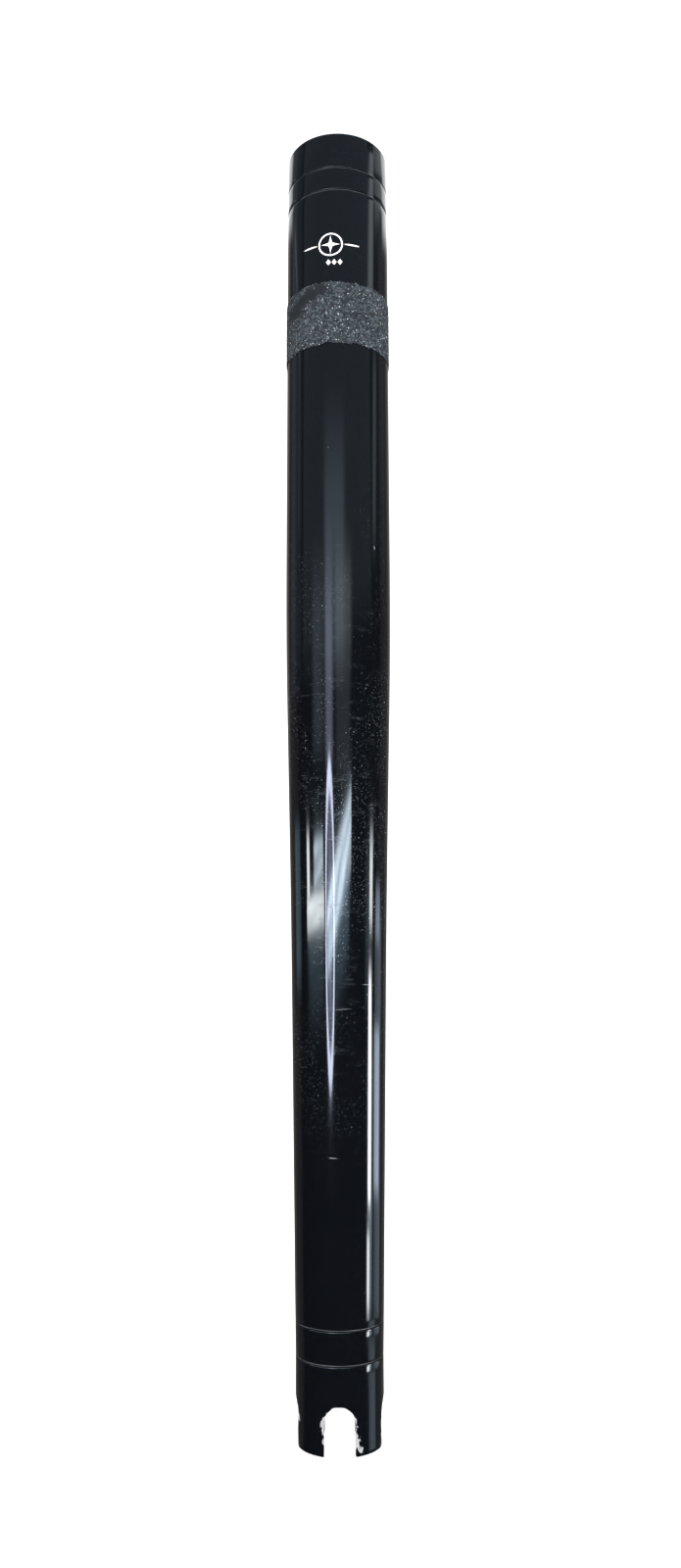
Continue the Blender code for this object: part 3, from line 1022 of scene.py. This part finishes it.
@dataclass
class HeadMark:
    """A printed compass star in a ring, with a line to each side and three lozenges below."""

    height: float = 0.4868
    small_height: float = 0.4785
    aside: float = -0.0030
    small_aside: float = -0.0014
    ring: float = 0.0050
    stroke: float = 0.00032
    star: float = 0.0043
    waist: float = 0.0011
    line: tuple[float, float] = (0.0060, 0.0126)
    line_width: float = 0.00036
    lozenge: tuple[float, float] = (0.00105, 0.00135)
    spacing: float = 0.0025
    lift: float = 0.00003
    sunk: float = 0.00002
    ring_columns: int = 120
    blot_columns: int = 160
    rings: int = 6

    def wrapped(self, across: np.ndarray, up: np.ndarray, out: np.ndarray) -> np.ndarray:
        """Rolls flat points onto the head: the angle is the distance across over the radius."""
        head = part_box("upper_trim_ring")[1].x
        angle, radius = across / head, head + out
        return np.stack([radius * np.sin(angle), -radius * np.cos(angle), up], axis=-1)

    def blot(self, outline: np.ndarray, centre: tuple[float, float]) -> Surface:
        """A flat printed shape: rings from its centre out to its outline, over a second face.

        Args:
            outline: Points of its edge about its centre, anticlockwise, closed.
            centre: Its place across and up.

        Returns:
            A closed surface, a few hundredths of a millimetre thick.
        """
        shares = np.concatenate([np.linspace(0, 1, self.rings), np.linspace(1, 0, self.rings)])
        out = np.repeat([-self.sunk, self.lift], self.rings)
        flat = shares[:, None, None] * outline + np.array(centre)
        lift = np.broadcast_to(out[:, None], flat.shape[:2])
        return Surface.grid(self.wrapped(flat[..., 0], flat[..., 1], lift))

    def band(self, radius: float, stroke: float) -> Surface:
        """A printed ring: a four-cornered section carried round a circle."""
        turn = ring_angles(self.ring_columns)
        side = np.array([-1, 1, 1, -1, -1])[:, None] * stroke
        out = np.array([-self.sunk, -self.sunk, self.lift, self.lift, -self.sunk])[:, None]
        reach = radius + side + 0 * turn
        across, up = reach * np.cos(turn) + self.aside, reach * np.sin(turn) + self.height
        return Surface.grid(self.wrapped(across, up, out + 0 * turn))

    def build(self, finish: Material) -> list[Thing]:
        """Makes the emblem and the row of lozenges."""
        turn = ring_angles(self.blot_columns)
        quarter = np.abs((turn / QUARTER_TURN + 0.5) % 1 - 0.5) * 2
        long = self.star * self.waist / (self.waist + (self.star - self.waist) * quarter**0.75)
        star = np.stack([long * np.cos(turn), long * np.sin(turn)], axis=1)
        parts = [self.band(self.ring, self.stroke), self.blot(star, (self.aside, self.height))]
        inner, outer = self.line
        half = (outer - inner) / 2
        dash = np.stack([half * np.cos(turn), self.line_width * np.sin(turn)], axis=1)
        for side in (-1, 1):
            parts.append(self.blot(dash, (self.aside + side * (inner + half), self.height)))
        corner = np.abs(np.cos(turn)) + np.abs(np.sin(turn))
        wide, tall = self.lozenge
        small = np.stack([wide * np.cos(turn) / corner, tall * np.sin(turn) / corner], axis=1)
        spread = [self.small_aside + step * self.spacing for step in (-1, 0, 1)]
        dots = [self.blot(small, (across, self.small_height)) for across in spread]
        return [
            Surface.joined(shapes).piece(name, Slot.ANODISE, finish)
            for name, shapes in (("head_emblem", parts), ("head_lozenges", dots))
        ]


@dataclass
class GimbalNock:
    """The foot, with crossed slots for a gimbal pin and a spigot up into the tube.

    It is made as an eighth of a turn, from a slot's middle to the middle of a leg, eight times.
    In each eighth the grid's rows follow the slot's outline up a flank and round its arch, and
    its columns run from the far side of the wall over the slot's edge to the bore.
    """

    half_width: float = 0.0059
    spring: float = 0.0118
    foot: float = 0.0012
    bore: float = 0.0112
    lead: float = 0.0005
    spigot: float = 0.0142
    ring_height: float = 0.0285
    edge: float = 0.00022
    wear: float = 0.00022
    wear_sizes: tuple[float, float] = (1.6, 9.0)
    worn_share: float = 0.25
    bore_row: float = 0.05
    inner_edge: float = 0.0002
    wall_steps: int = 18
    edge_steps: int = 4
    flank_steps: int = 6
    seed: int = 5
    foot_rows: int = 5
    flank_rows: int = 34
    leg_rows: int = 20
    top_rows: int = 32
    shoulder_edge: float = 0.00035

    def outline(self, grow: np.ndarray) -> tuple[np.ndarray, np.ndarray]:
        """Half the slot's outline, grown outwards, by row: up its flank, then round its arch.

        Args:
            grow: How far each row stands out from the slot.

        Returns:
            Distances from the slot's middle, and heights.
        """
        turn = np.linspace(0, QUARTER_TURN, self.leg_rows + self.top_rows + 1)
        heel = self.foot - self.foot * np.sin(np.linspace(QUARTER_TURN, 0, self.foot_rows + 1))
        flank = np.linspace(self.foot, self.spring, self.flank_rows + 1)[1:]
        straight = len(heel) + len(flank) - 1
        lean = np.concatenate([np.zeros(straight), turn])
        base = np.concatenate([heel, flank[:-1], np.full(len(turn), self.spring)])
        reach = self.half_width + grow
        return reach * np.cos(lean), base + reach * np.sin(lean)

    def far_side(self) -> tuple[np.ndarray, np.ndarray]:
        """The line that each row ends on: the leg's middle, then the ring above the slots."""
        heights = self.outline(np.zeros(self.count))[1]
        climb = np.linspace(self.spring, self.ring_height, self.leg_rows + 1)[1:]
        level = np.full(self.top_rows, self.ring_height)
        angles = np.full(self.count, EIGHTH_TURN)
        angles[-self.top_rows :] = np.linspace(EIGHTH_TURN, 0, self.top_rows + 1)[1:]
        return angles, np.concatenate([heights[: -len(climb) - len(level)], climb, level])

    @property
    def count(self) -> int:
        """Rows of an eighth."""
        return self.foot_rows + self.flank_rows + self.leg_rows + self.top_rows + 1

    def wall(self, edge: np.ndarray, radius: float) -> np.ndarray:
        """Points of an eighth's two walls and the flank between them, by row and column.

        A wall point's angle and height run evenly from the slot's edge to the far side, closer
        together near the edge. A point of a rounded edge stands e (1 - sin t) from the slot and
        e (1 - cos t) inside the wall.
        """
        tall = self.outline(np.zeros(self.count))[1]
        heel = np.sqrt(np.clip(1 - ((self.foot - tall) / self.foot) ** 2, 0, 1))
        outer = radius - self.foot + self.foot * np.where(tall < self.foot, heel, 1.0)
        inner = self.bore + np.clip(self.lead - tall, 0, None)
        far_angle, far_height = self.far_side()
        spread = np.linspace(0, 1, self.wall_steps + 1)[:-1] ** 1.5
        columns: list[np.ndarray] = []

        def wall_points(radii: np.ndarray, grow: np.ndarray, shares: np.ndarray) -> None:
            """Adds the columns of one wall, at these shares of the way to the far side."""
            across, height = self.outline(grow)
            near = np.arcsin(across / radii)
            for share in shares:
                angle = near + (far_angle - near) * share
                level = height + (far_height - height) * share
                columns.append(np.stack([radii * np.sin(angle), radii * np.cos(angle), level], 1))

        def edge_points(radii: np.ndarray, size: np.ndarray, turns: np.ndarray, side: int) -> None:
            """Adds the columns of one rounded edge."""
            for turn in turns:
                across, height = self.outline(size * (1 - math.sin(turn)))
                depth = np.sqrt(radii**2 - across**2) - side * size * (1 - math.cos(turn))
                columns.append(np.stack([across, depth, height], 1))

        turns = np.linspace(0, QUARTER_TURN, self.edge_steps + 1)
        small = np.full(self.count, self.inner_edge)
        wall_points(outer, edge, np.append(spread, 1.0)[::-1])
        edge_points(outer, edge, turns[1:], 1)
        start = columns[-1]
        mark = len(columns)
        edge_points(inner, small, turns[:0:-1], -1)
        end = columns[mark]
        between = [start + (end - start) * t for t in np.linspace(0, 1, self.flank_steps + 1)[1:-1]]
        columns[mark:mark] = between
        wall_points(inner, small, np.append(spread, 1.0))
        return np.stack(columns, axis=1)

    def sole(self, rim: np.ndarray) -> np.ndarray:
        """The leg's end, between the four sides of its outline, as a Coons patch.

        A point is the mean of its places between each pair of opposite sides, less its place
        between the four corners.
        """
        quarter = self.wall_steps + self.edge_steps // 2
        outer, side, inner = rim[: quarter + 1], rim[quarter:-quarter], rim[: -quarter - 2 : -1]
        u = np.linspace(0, 1, len(outer))[:, None, None]
        v = np.linspace(0, 1, len(side))[None, :, None]
        middle = outer[0] + (inner[0] - outer[0]) * v[0]
        ruled = (1 - v) * outer[:, None] + v * inner[:, None] + (1 - u) * middle + u * side
        corners = (1 - u) * ((1 - v) * outer[0] + v * inner[0])
        return ruled - corners - u * ((1 - v) * outer[-1] + v * inner[-1])

    def upper(self, radius: float, top: float) -> np.ndarray:
        """The ring above the slots, the shoulder, the spigot and its bore, in an eighth."""
        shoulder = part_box("lower_trim_ring")[0].z - JOINT_GAP
        corners = [
            (radius, self.ring_height, 0.0),
            (radius, shoulder, self.shoulder_edge),
            (self.spigot, shoulder, 0.0),
            *seal_groove("lower_seal_ring", self.spigot),
            (self.spigot, top, self.lead),
            (self.bore, top, 0.0),
            (self.bore, self.bore_row, 0.0),
            (self.bore, self.ring_height, 0.0),
        ]
        profile = eased_profile(corners)[:-1]
        angles = np.linspace(EIGHTH_TURN, 0, self.top_rows + 1)
        return lathe(profile[:, 0], profile[:, 1], angles) * [1, -1, 1]

    def build(self, finish: Material) -> Thing:
        """Makes the nock from eight eighths, each with its own wear along the slot's edge."""
        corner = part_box("gimbal_nock")[1]
        radius, top = corner.x, corner.z
        rng = np.random.default_rng(self.seed)
        fade = smooth_step(np.linspace(1, 0, self.count) / self.worn_share)
        parts: list[Surface] = []
        upper = Surface.grid(self.upper(radius, top))
        for eighth in range(8):
            rough, slow = (
                rough_field(rng, (2, self.count), (UNBLURRED, size))[0] for size in self.wear_sizes
            )
            edge = self.edge + self.wear * fade * np.clip(0.5 + 0.35 * rough + 0.4 * slow, 0, 2)
            wall = self.wall(edge, radius)
            patch = [Surface.grid(wall), Surface.grid(self.sole(wall[0])), upper]
            if eighth % 2:
                patch = [part.mirrored() for part in patch]
            parts += [part.turned((eighth // 2) * QUARTER_TURN) for part in patch]
        return Surface.joined(parts).piece("slotted_nock", Slot.ANODISE, finish, "gimbal_nock")


# ---------------------------------------------------------------- studio


STREAK_SCALE: Triple = (2.0, 0.42, 1.0)
STREAK_SLANT = 0.39


@dataclass(frozen=True)
class Card:
    """A lit gauze that stands on a circle round the butt and shows only as a reflection.

    Angles are in degrees from the camera's side to its right. Heights are of the card's ends, and
    slant is how much higher its right-hand side stands, and lean how far round its top is shifted.
    """

    name: str
    left: float
    right: float
    low: float
    high: float
    radiance: float
    tint: Colour = (0.86, 0.95, 1.0)
    slant: float = 0.0
    lean: float = 0.0
    soft_sides: float = 0.08
    soft_low: float = 0.15
    soft_high: float = 0.15
    streaks: float = 0.0

    def build(self, distance: float) -> Thing:
        """Makes the card as a bent sheet with a UV map, whose light fades towards its sides."""
        share = np.linspace(0, 1, CARD_COLUMNS)
        turn = self.left + (self.right - self.left) * share + self.lean * np.array([[0.0], [1.0]])
        low = self.low + self.slant * share
        heights = low + (self.high - self.low) * np.array([[0.0], [1.0]])
        angle = np.radians(turn)
        places = [distance * np.sin(angle), -distance * np.cos(angle), heights]
        card = Surface.grid(np.stack(places, axis=2), True).placed(self.name, self.light())
        mesh = card.data
        corners = np.zeros(len(mesh.loops), np.int32)
        mesh.loops.foreach_get("vertex_index", corners)
        places = np.stack([np.tile(share, 2), np.repeat([0.0, 1.0], len(share))], axis=1)
        layer = mesh.uv_layers.new(name="card")
        layer.data.foreach_set("uv", places[corners].astype(np.float32).ravel())
        return staged(card)

    def light(self) -> Material:
        """Wires the card's light, which lets what is behind the card shine through."""
        bench = Bench(self.name + "_light")
        place = bench.wire("ShaderNodeUVMap", 0, {"uv_map": "card"})
        u, v, _ = bench.axes(place)
        sides, low, high = (
            max(soft, 0.001) for soft in (self.soft_sides, self.soft_low, self.soft_high)
        )
        glow = u.rise(0, sides) * u.rise(1, 1 - sides) * v.rise(0, low) * v.rise(1, 1 - high)
        if self.streaks:
            sockets = {"Vector": place, "Scale": STREAK_SCALE, "Rotation": (0, 0, STREAK_SLANT)}
            place = bench.wire("ShaderNodeMapping", 0, {"vector_type": "TEXTURE"}, sockets)
            sockets = {"Vector": place, "Scale": 1.6, "Detail": 3.0}
            noise = bench.wire("ShaderNodeTexNoise", 0, None, sockets)
            glow = glow * (1 - self.streaks * noise.rise(0.43, 0.57))
        through = bench.wire("ShaderNodeBsdfTransparent", 0)
        sockets = {0: bench.glow(self.tint, glow * self.radiance), 1: through}
        return bench.ended(bench.wire("ShaderNodeAddShader", 0, None, sockets))


def staged(thing: Thing) -> Thing:
    """Marks a lit thing as stage, which only reflections see."""
    for rays in ("camera", "diffuse", "shadow", "transmission"):
        setattr(thing, f"visible_{rays}", False)
    return thing


@dataclass(frozen=True)
class RingLamp:
    """A ring-shaped lamp beside the camera."""

    angle: float = -20.6
    distance: float = 1.05
    height: float = 0.203
    outer: float = 0.200
    inner: float = 0.154
    radiance: float = 19.0
    tint: Colour = (0.72, 0.78, 1.0)

    def build(self) -> Thing:
        """Makes the lamp as a flat ring that faces the butt."""
        turn = ring_angles(96)
        radii = np.array([[self.inner], [self.outer]])
        a = math.radians(self.angle)
        aside, up = radii * np.cos(turn), radii * np.sin(turn) + self.height
        across = self.distance * math.sin(a) + aside * math.cos(a)
        along = -self.distance * math.cos(a) + aside * math.sin(a)
        bench = Bench("ring_lamp_light")
        light = bench.ended(bench.glow(self.tint, self.radiance))
        ring = Surface.grid(np.stack([across, along, up], axis=2))
        return staged(ring.placed("ring_lamp", light))


BLUE_GREY: Colour = (0.74, 0.93, 1.12)
VIOLET: Colour = (0.76, 0.84, 1.15)
GREEN_GREY: Colour = (0.82, 0.96, 1.02)
WHITE: Colour = (0.93, 0.98, 1.0)
ICE: Colour = (0.8, 0.97, 1.12)
LAVENDER: Colour = (0.74, 0.88, 1.1)
TEAL: Colour = (0.58, 0.92, 1.18)
WARM: Colour = (1.0, 0.95, 0.9)


@dataclass
class Studio:
    """The floor, the soft light, the cards and the camera."""

    floor_size: float = 12.0
    floor_light: float = 0.35
    room_light: float = 1.5
    key_place: Triple = (0.55, -0.9, 1.15)
    key_aim: Triple = (0, 0, 0.4)
    key_size: float = 0.5
    key_power: float = 12.0
    first_card: float = 0.93
    card_step: float = 0.004
    camera_place: Triple = (0.0008, -0.492, 0.1777)
    camera_tilt: float = 9.0
    camera_roll: float = -0.13
    lens: float = 27.4
    cards: tuple[Card, ...] = (
        Card("sky", -86, 80, 0.45, 1.75, 0.21, BLUE_GREY, 0.10, 0, 0.04, 0.10, 0.02),
        Card("sky_left", -128, -84, 0.45, 1.75, 0.13, BLUE_GREY, 0.0, 0, 0.15, 0.10, 0.02),
        Card("sky_right", 79, 126, 0.62, 1.75, 0.05, BLUE_GREY, 0.0, 0, 0.10, 0.10, 0.02),
        Card("glow_wide", -36, 20, 0.45, 0.92, 0.70, BLUE_GREY, 0, 0, 0.25, 0.25, 0.45),
        Card("glow_violet", -32, -9, 0.36, 0.76, 1.8, VIOLET, 0, 0, 0.35, 0.10, 0.60),
        Card("glow_right", -12, 33, 0.46, 0.74, 0.85, GREEN_GREY, 0, 0, 0.25, 0.40, 0.45),
        Card("glow_between", -10, 30, 0.34, 0.54, 0.35, GREEN_GREY, 0, 0, 0.25, 0.2, 0.3),
        Card("glow_low_left", -64, -26, 0.37, 0.74, 0.5, BLUE_GREY, 0, 0, 0.35, 0.15, 0.50),
        Card("left_window_low", -81, -34, 0.192, 0.243, 16.5, WHITE, 0, 0, 0.02, 0.35, 0.2, 0.5),
        Card("left_window_bar", -80, -71, 0.235, 0.325, 14.0, WHITE, 0, 0, 0.2, 0.1, 0.40),
        Card("left_window_pane", -62, -34, 0.243, 0.310, 12.0, ICE, 0, 0, 0.15, 0.15, 0.35, 0.75),
        Card("left_haze", -84, -28, 0.05, 0.26, 1.0, TEAL, 0, 0, 0.3, 0.8, 0.1, 0.2),
        Card("right_window", -28, 29, 0.130, 0.250, 17.5, ICE, 0.125, 0, 0.01, 0.3, 0.35, 0.72),
        Card("right_haze", -28, 28, 0.04, 0.22, 1.7, TEAL, 0.09, 0, 0.15, 0.75, 0.2, 0.4),
        Card("ring_haze", -28, -13, 0.04, 0.38, 2.4, VIOLET, 0, 0, 0.35, 0.25, 0.3),
        Card("strip_high", 75.5, 88, 0.195, 0.335, 12.0, WHITE, 0, 0, 0.3, 0.2, 0.4),
        Card("strip_main", 73.5, 87, -0.120, 0.180, 28.0, WHITE, 0, 0, 0.42, 0.08, 0.2),
        Card("strip_low", 71, 83.5, -0.245, -0.140, 13.0, WHITE, 0, 0, 0.4, 0.2, 0.15),
        Card("strip_foot", 76, 108, -0.40, -0.235, 0.9, LAVENDER, 0, 0, 0.3, 0.2, 0.3),
        Card("strip_bed", 70, 94, -0.25, 0.12, 2.2, BLUE_GREY, 0, 0, 0.4, 0.08, 0.2),
        Card("strip_bed_high", 62, 92, 0.10, 0.33, 0.5, BLUE_GREY, 0, 0, 0.3, 0.1, 0.3),
        Card("side_panel", 93, 124, -0.27, 0.26, 0.8, LAVENDER, 0, 0, 0.2, 0.1, 0.1),
        Card("side_panel_bright", 92, 118, -0.115, 0.110, 4.0, LAVENDER, 0, 0, 0.25, 0.15, 0.15),
        Card("side_panel_high", 95, 116, 0.185, 0.275, 2.2, LAVENDER, 0, 0, 0.25, 0.3, 0.3),
        Card("side_left", -126, -98, 0.12, 0.36, 0.6, TEAL, 0, 0, 0.25, 0.3, 0.2),
        Card("line_right", 66, 90, 1.02, 1.36, 1.2, WHITE, 0, 10, 0.45, 0.15, 0.1),
        Card("line_right_low", 76, 93, 0.68, 1.05, 0.5, WHITE, 0, 8, 0.45, 0.3, 0.3),
        Card("edge_line_left", -100, -92, 0.72, 1.0, 0.12, WHITE, 0, 0, 0.3, 0.2, 0.0),
        Card("edge_bend_left", -100, -92, 1.0, 1.2, 0.3, WHITE, 0, -20, 0.3, 0.0, 0.1),
        Card("brow_right", 92, 134, 1.16, 1.9, 0.5, WHITE, 0.06, 0, 0.15, 0.08, 0.02),
        Card("brow_far_right", 120, 180, 1.16, 1.9, 1.7, WHITE, 0.0, 0, 0.2, 0.08, 0.02),
        Card("brow_far_left", -180, -122, 1.18, 1.9, 1.5, WHITE, 0.0, 0, 0.2, 0.08, 0.02),
        Card("rim_haze_right", 100, 180, -0.7, 2.0, 0.09, WARM, 0, 0, 0.15, 0.01, 0.01),
        Card("rim_haze_left", -180, -100, -0.7, 2.0, 0.08, WARM, 0, 0, 0.15, 0.01, 0.01),
        Card("rim_glow_right", 132, 184, -0.7, 2.0, 0.11, WARM, 0, 0, 0.35, 0.01, 0.01),
        Card("rim_glow_left", -184, -132, -0.7, 2.0, 0.09, WARM, 0, 0, 0.35, 0.01, 0.01),
        Card("rim_high_left", -184, -136, 0.3, 2.0, 0.15, WARM, 0, 0, 0.35, 0.15, 0.01),
        Card("rim_high_right", 140, 184, 0.3, 2.0, 0.12, WARM, 0, 0, 0.35, 0.15, 0.01),
    )

    def floor(self) -> None:
        """Lays a plain pale floor, which the butt's gloss doesn't see."""
        half = self.floor_size / 2
        across, along = np.meshgrid(np.linspace(-half, half, 3), np.linspace(-half, half, 3))
        bench = Bench("floor_paper")
        fibre = bench.noise(900, 3.0)
        paper = bench.finish(
            Base_Color=bench.tint(fibre, (0.93, 0.93, 0.93), (0.96, 0.96, 0.96)),
            Roughness=0.9,
            Emission_Color=(1.0, 1.0, 1.0),
            Emission_Strength=self.floor_light,
        )
        grid = np.stack([across, along, 0 * across], axis=2)
        floor = Surface.grid(grid).placed("floor", paper)
        floor.visible_glossy = False
        floor.visible_shadow = False

    def lights(self) -> None:
        """Sets the soft surrounding light, a key lamp for the grit, and the cards."""
        scene = bpy.context.scene
        world = bpy.data.worlds.new("soft_room")
        scene.world = world
        world.use_nodes = True
        background = world.node_tree.nodes["Background"].inputs
        background["Color"].default_value = (1, 1, 1, 1)
        background["Strength"].default_value = self.room_light
        world.cycles_visibility.glossy = False
        data = bpy.data.lights.new("key_lamp", "AREA")
        data.shape = "DISK"
        data.size = self.key_size
        data.energy = self.key_power
        data.use_shadow = False
        lamp = bpy.data.objects.new("key_lamp", data)
        place = Vector(self.key_place)
        aim = (Vector(self.key_aim) - place).to_track_quat("-Z", "Y").to_matrix().to_4x4()
        lamp.matrix_world = Matrix.Translation(place) @ aim
        lamp.visible_camera = False
        lamp.visible_glossy = False
        scene.collection.objects.link(lamp)
        for index, card in enumerate(self.cards):
            card.build(self.first_card + self.card_step * index)
        RingLamp().build()
        log.info("studio: %d cards and two lamps", len(self.cards))

    def camera(self) -> None:
        """Stands the camera before the butt, below its middle, looking up a little."""
        scene = bpy.context.scene
        data = bpy.data.cameras.new("camera")
        data.lens = self.lens
        data.sensor_width = 36
        data.sensor_fit = "AUTO"
        data.clip_start, data.clip_end = 0.01, 60
        data.dof.use_dof = False
        camera = bpy.data.objects.new("camera", data)
        tilt, roll = math.radians(self.camera_tilt), math.radians(self.camera_roll)
        pose = Matrix.Rotation(QUARTER_TURN + tilt, 4, "X") @ Matrix.Rotation(roll, 4, "Z")
        camera.matrix_world = Matrix.Translation(self.camera_place) @ pose
        scene.collection.objects.link(camera)
        scene.camera = camera
        scene.view_settings.view_transform = "Standard"

    def build(self) -> None:
        """Sets up the whole studio."""
        self.floor()
        self.lights()
        self.camera()


# ---------------------------------------------------------------- the butt


TUBE_NICKS: tuple[Nick, ...] = (
    Nick(-10.3, 0.3945, 0.00022, 0.00045),
    Nick(42.9, 0.3526, 0.0003, 0.0012, 8),
    Nick(-7.6, 0.1076, 0.0029, 0.00020, -4),
    Nick(5.0, 0.1637, 0.0050, 0.00006, 3),
    Nick(37.0, 0.1731, 0.0045, 0.00006, -3),
    Nick(-11.0, 0.1513, 0.0014, 0.00007),
    Nick(39.0, 0.1693, 0.0018, 0.00016, 4),
)


def main() -> None:
    """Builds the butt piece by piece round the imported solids, then the studio."""
    logging.basicConfig(level=logging.INFO, format="%(name)s %(message)s")
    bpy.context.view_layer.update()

    lower, upper = ends("lower_trim_ring")[0], ends("upper_trim_ring")[1]
    tube_black = BlackAnodise("tube_anodise", nicks=TUBE_NICKS, worn_edge_highlight=ends("butt_tube")).make()
    fitting_black = BlackAnodise("fitting_anodise", roughness=0.07, worn_edge_highlight=(lower, upper)).make()
    nock = GimbalNock()
    worn = WornSlots(nock.half_width, nock.spring, 0.0014)
    nock_black = BlackAnodise("nock_anodise", slots=worn).make()
    aluminium = BareAluminium().make()
    ink = MarkInk().make()
    rubber = DullBlack("nitrile_rubber", (0.014, 0.014, 0.015), 0.6, 2400).make()
    acetal = DullBlack("acetal_plug", (0.022, 0.022, 0.024), 0.42, 1500).make()

    ButtTube().build(tube_black)
    ferrule = FerruleEnd()
    ferrule.collar(fitting_black)
    ferrule.socket(aluminium)
    ferrule.key(KeySteel().make())
    TrimRing("upper_trim_ring", "upper_ring", 0.022225, 0.022225, 0.019425).build(fitting_black)
    TrimRing("lower_trim_ring", "lower_ring", 0.0171, 0.0173, 0.0145).build(fitting_black)
    SealRing("upper_seal_ring", "upper_seal").build(rubber)
    SealRing("lower_seal_ring", "lower_seal").build(rubber)
    Bulkhead("socket_bulkhead", "socket_plug").build(acetal)
    Bulkhead("nock_bulkhead", "nock_plug").build(acetal)
    GripTape().build(GritTape().make())
    HeadMark().build(ink)
    nock.build(nock_black)
    Studio().build()


if __name__ == "__main__":
    main()
